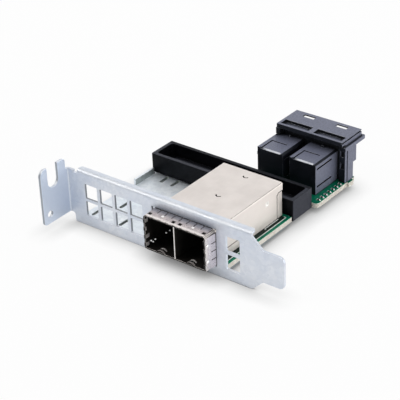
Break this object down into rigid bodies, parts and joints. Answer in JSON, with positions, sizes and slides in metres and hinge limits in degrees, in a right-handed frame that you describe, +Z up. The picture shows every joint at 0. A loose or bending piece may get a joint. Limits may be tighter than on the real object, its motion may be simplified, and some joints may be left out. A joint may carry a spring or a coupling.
{
  "type": "storage port adapter on a slot bracket",
  "caption": "Low-profile slot bracket with a tray, a circuit board, a caged front port pair and a shrouded rear port pair, which carries storage cables through a case wall.",
  "frame": {"origin": "middle of the part's bounding box at its lowest level, the lower edge of the bracket's plate", "axes": "+X along the bracket from its screw tab to its tongue, +Y from the bracket towards the rear receptacle, +Z up off the tray"},
  "size_m": [0.0792, 0.0808, 0.0213],
  "materials": {
    "zinc_steel": "satin zinc plating",
    "nickel_sheet": "satin nickel plating",
    "gasket_spring": "bright nickel plating",
    "channel_plastic": "fine matte",
    "receptacle_plastic": "satin",
    "contact_gold": "gold flash",
    "board_green": "gloss solder mask",
    "chip_ceramic": "matte",
    "screw_steel": "satin"
  },
  "bodies": {
    "root": {"slot_bracket": "zinc_steel", "base_tray": "zinc_steel", "cage_shell": "nickel_sheet", "cage_rear_cover": "nickel_sheet", "cage_floor": "nickel_sheet", "cage_divider": "nickel_sheet", "gasket_strip_top": "gasket_spring", "gasket_strip_bottom": "gasket_spring", "gasket_strip_left": "gasket_spring", "gasket_strip_right": "gasket_spring", "clamp_channel": "channel_plastic", "receptacle_shroud": "receptacle_plastic", "wafer_block_left": "receptacle_plastic", "wafer_block_right": "receptacle_plastic", "port_housing_left": "receptacle_plastic", "port_housing_right": "receptacle_plastic", "port_contacts_left": "contact_gold", "port_contacts_right": "contact_gold", "wafer_contacts_left": "contact_gold", "wafer_contacts_right": "contact_gold", "circuit_board": "board_green", "chip_capacitors": "chip_ceramic", "channel_screws": "screw_steel"}
  },
  "joints": []
}
